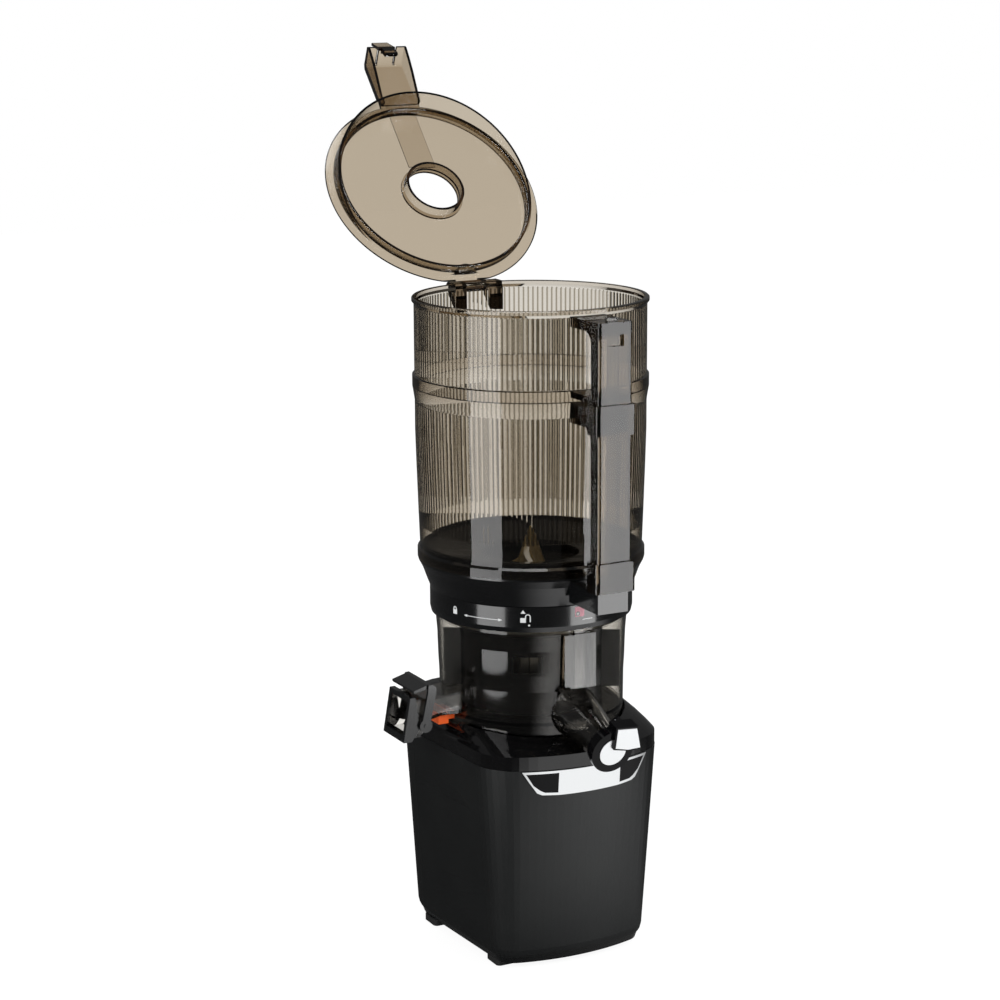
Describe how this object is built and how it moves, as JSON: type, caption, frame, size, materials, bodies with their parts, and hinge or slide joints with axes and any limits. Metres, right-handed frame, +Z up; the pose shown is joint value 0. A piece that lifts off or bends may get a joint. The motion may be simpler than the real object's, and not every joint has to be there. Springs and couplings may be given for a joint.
{
  "type": "cold press juicer",
  "caption": "Cold press juicer with a matte black motor base, smoky bowl and two-tier fluted hopper, front grip column, juice cap and hinged lid shown open.",
  "frame": {"origin": "Centre of the four foot-screw recesses at the floor, on the axis of the auger, bowl and hopper.", "axes": "+Z up through the hopper axis, -Y to the front with the juice spout and grip column, -X to the pulp outlet, right-handed."},
  "size_m": [0.2495, 0.4817, 0.8199],
  "materials": {
    "body_black": "fine-textured matte black shell",
    "gloss_black": "piano-black gloss plastic",
    "base_black": "satin black moulded plastic",
    "badge_chrome": "bright chrome-plated plastic",
    "cap_silver": "satin silver plated trim",
    "foot_rubber": "black rubber",
    "switch_black": "black moulded switch plastic",
    "board_green": "green circuit board with black parts",
    "steel": "turned steel",
    "copper_winding": "enamelled copper winding",
    "aluminium_cast": "die-cast aluminium",
    "gear_nylon": "natural moulded nylon",
    "smoke_clear": "smoky brown transparent plastic",
    "silicone_grey": "grey silicone",
    "silicone_orange": "orange silicone",
    "strainer_steel": "fine perforated steel strainer",
    "auger_plastic": "dark moulded engineering plastic",
    "rod_plastic": "natural acetal rod"
  },
  "bodies": {
    "base": {"base_housing": "body_black", "top_deck": "gloss_black", "badge_plate": "badge_chrome", "badge_end_inlays": "gloss_black", "bottom_cover": "base_black", "foot_front_left": "foot_rubber", "foot_front_right": "foot_rubber", "foot_rear_left": "foot_rubber", "foot_rear_right": "foot_rubber", "foot_screws": "steel", "cord_gland": "foot_rubber", "switch_bezel": "switch_black", "control_board": "board_green", "run_capacitor": "aluminium_cast", "interlock_sensor": "switch_black", "motor_stator": "steel", "motor_windings": "copper_winding", "motor_frame": "aluminium_cast", "gearbox_case": "aluminium_cast", "gearbox_cover": "aluminium_cast", "juice_bowl": "smoke_clear", "bowl_seal": "silicone_grey", "strainer": "strainer_steel", "pulp_mouth_frame": "base_black", "pulp_stopper": "silicone_orange", "lock_collar": "base_black", "hopper_base": "base_black", "lower_drum": "smoke_clear", "upper_drum": "smoke_clear", "lid_hinge_pin": "steel"},
    "rocker": {"rocker_switch": "switch_black"},
    "rotor": {"motor_rotor": "steel", "cooling_fan": "switch_black"},
    "mid_gear": {"reduction_gear": "gear_nylon"},
    "drive": {"output_gear": "gear_nylon", "drive_coupling": "steel", "auger": "auger_plastic"},
    "wiper": {"wiper_holder": "auger_plastic", "wiper_blades": "silicone_grey"},
    "lid_leaf": {"lid": "smoke_clear"},
    "cap": {"juice_cap": "base_black", "juice_cap_trim": "cap_silver", "juice_cap_seal": "silicone_grey", "juice_cap_pin": "steel"},
    "pulp_bail": {"pulp_lever": "base_black", "pulp_lever_pins": "base_black"},
    "upper_rod": {"upper_push_rod": "smoke_clear"},
    "lower_rod": {"lower_push_rod": "smoke_clear"},
    "link_bar": {"transfer_bar": "rod_plastic"},
    "bowl_rod": {"bowl_push_rod": "smoke_clear"}
  },
  "joints": [
    {"name": "lid_hinge", "type": "hinge", "parent": "base", "child": "lid_leaf", "pos_m": [0, 0.1165, 0.601], "axis": [-1, 0, 0], "range_deg": [-133, 3]},
    {"name": "juice_cap_hinge", "type": "hinge", "parent": "base", "child": "cap", "pos_m": [0.01485, -0.14049, 0.23724], "axis": [-0.7071, -0.183, 0.683], "range_deg": [0, 100]},
    {"name": "pulp_lever_hinge", "type": "hinge", "parent": "base", "child": "pulp_bail", "pos_m": [-0.121, 0, 0.225], "axis": [0, -1, 0], "range_deg": [0, 95]},
    {"name": "rocker_tilt", "type": "hinge", "parent": "base", "child": "rocker", "pos_m": [0.087, 0.04, 0.105], "axis": [0, 1, 0], "range_deg": [-11, 11]},
    {"name": "auger_spin", "type": "hinge", "parent": "base", "child": "drive", "pos_m": [0, 0, 0.24], "axis": [0, 0, 1], "continuous": true},
    {"name": "reduction_spin", "type": "hinge", "parent": "base", "child": "mid_gear", "pos_m": [0, 0.05775, 0.16], "axis": [0, 0, 1], "continuous": true},
    {"name": "rotor_spin", "type": "hinge", "parent": "base", "child": "rotor", "pos_m": [0, 0.02175, 0.09], "axis": [0, 0, 1], "continuous": true},
    {"name": "wiper_spin", "type": "hinge", "parent": "base", "child": "wiper", "pos_m": [0, 0, 0.265], "axis": [0, 0, 1], "continuous": true},
    {"name": "upper_rod_slide", "type": "slide", "parent": "base", "child": "upper_rod", "axis": [0, 0, -1], "range_m": [0, 0.003], "stiffness_N_per_m": 60},
    {"name": "lower_rod_slide", "type": "slide", "parent": "base", "child": "lower_rod", "axis": [0, 0, -1], "range_m": [0, 0.003], "stiffness_N_per_m": 60},
    {"name": "link_bar_slide", "type": "slide", "parent": "base", "child": "link_bar", "axis": [0, 0, -1], "range_m": [0, 0.003], "stiffness_N_per_m": 60},
    {"name": "bowl_rod_slide", "type": "slide", "parent": "base", "child": "bowl_rod", "axis": [0, 0, -1], "range_m": [0, 0.003], "stiffness_N_per_m": 60}
  ],
  "couplings": [
    {"joint": "reduction_spin", "follows": "auger_spin", "ratio": -5},
    {"joint": "rotor_spin", "follows": "auger_spin", "ratio": 31},
    {"joint": "wiper_spin", "follows": "auger_spin", "ratio": 0.4},
    {"joint": "lower_rod_slide", "follows": "upper_rod_slide", "ratio": 1},
    {"joint": "link_bar_slide", "follows": "upper_rod_slide", "ratio": 1},
    {"joint": "bowl_rod_slide", "follows": "upper_rod_slide", "ratio": 1}
  ]
}
